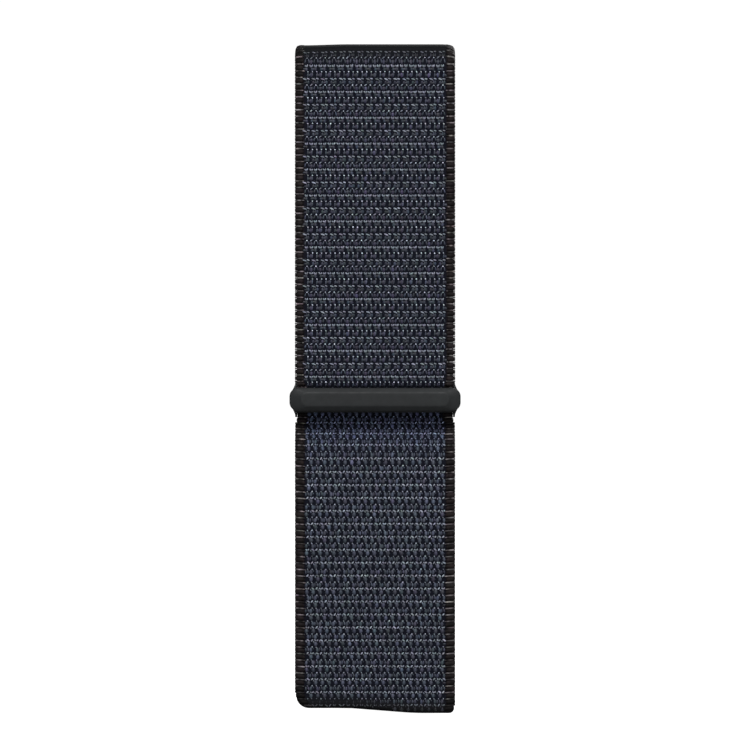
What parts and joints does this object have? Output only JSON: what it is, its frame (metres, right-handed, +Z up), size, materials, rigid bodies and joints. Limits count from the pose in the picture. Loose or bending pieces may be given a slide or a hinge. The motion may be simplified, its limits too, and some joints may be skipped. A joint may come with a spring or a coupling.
{
  "type": "fitness tracker band",
  "caption": "Closed woven wrist loop with a plastic clasp ring, a hook-and-loop tail that folds back on itself, and a spring-catch connector at each end for a tracker.",
  "frame": {"origin": "centre of the tracker's place, midway between the two connectors and on the line of their pins", "axes": "+Z up along the closed band, +X across the band's width, +Y out of the tracker side; the clasp ring faces -Y"},
  "size_m": [0.026, 0.023, 0.1021],
  "materials": {
    "woven_nylon": "ribbed slate-blue nylon weave with light thread floats and dark bound edges",
    "loop_pile": "looped slate-blue nylon pile with dark bound edges",
    "hook_tape": "moulded nylon hooks on a fine tape",
    "ring_plastic": "finely matte charcoal moulding",
    "rail_plastic": "matte black moulding",
    "catch_plastic": "satin dark grey moulding",
    "steel": "turned stainless steel"
  },
  "bodies": {
    "upper_connector": {"upper_rail": "rail_plastic", "upper_strap_pin": "steel", "upper_catch_spring_left": "steel", "upper_catch_spring_right": "steel", "upper_catch_cover": "rail_plastic", "upper_cover_screw_left": "steel", "upper_cover_screw_right": "steel"},
    "upper_catch": {"upper_catch": "catch_plastic"},
    "short_strap": {"short_strap": "woven_nylon", "ring_cover": "ring_plastic", "ring_frame": "ring_plastic", "ring_rivet_1": "steel", "ring_rivet_2": "steel", "ring_rivet_3": "steel", "ring_rivet_4": "steel"},
    "long_strap": {"long_strap": "woven_nylon"},
    "tail": {"tail": "loop_pile", "hook_pad": "hook_tape"},
    "lower_connector": {"lower_rail": "rail_plastic", "lower_strap_pin": "steel", "lower_catch_spring_left": "steel", "lower_catch_spring_right": "steel", "lower_catch_cover": "rail_plastic", "lower_cover_screw_left": "steel", "lower_cover_screw_right": "steel"},
    "lower_catch": {"lower_catch": "catch_plastic"}
  },
  "joints": [
    {"name": "upper_catch_press", "type": "slide", "parent": "upper_connector", "child": "upper_catch", "axis": [0, 1, 0], "range_m": [0, 0.0006], "stiffness_N_per_m": 300, "springref_m": -0.0004, "deforming": ["upper_catch_spring_left", "upper_catch_spring_right"]},
    {"name": "upper_strap_swing", "type": "hinge", "parent": "upper_connector", "child": "short_strap", "pos_m": [0, 0, 0.0247], "axis": [1, 0, 0], "range_deg": [-30, 30]},
    {"name": "clasp_swing", "type": "hinge", "parent": "short_strap", "child": "long_strap", "pos_m": [0, -0.01475, -0.0036], "axis": [1, 0, 0], "range_deg": [-4, 25]},
    {"name": "tail_peel", "type": "hinge", "parent": "long_strap", "child": "tail", "pos_m": [0, -0.01748, -0.0093], "axis": [-1, 0, 0], "range_deg": [0, 100]},
    {"name": "lower_connector_swing", "type": "hinge", "parent": "long_strap", "child": "lower_connector", "pos_m": [0, 0, -0.0247], "axis": [1, 0, 0], "range_deg": [-30, 30]},
    {"name": "lower_catch_press", "type": "slide", "parent": "lower_connector", "child": "lower_catch", "axis": [0, 1, 0], "range_m": [0, 0.0006], "stiffness_N_per_m": 300, "springref_m": -0.0004, "deforming": ["lower_catch_spring_left", "lower_catch_spring_right"]}
  ]
}
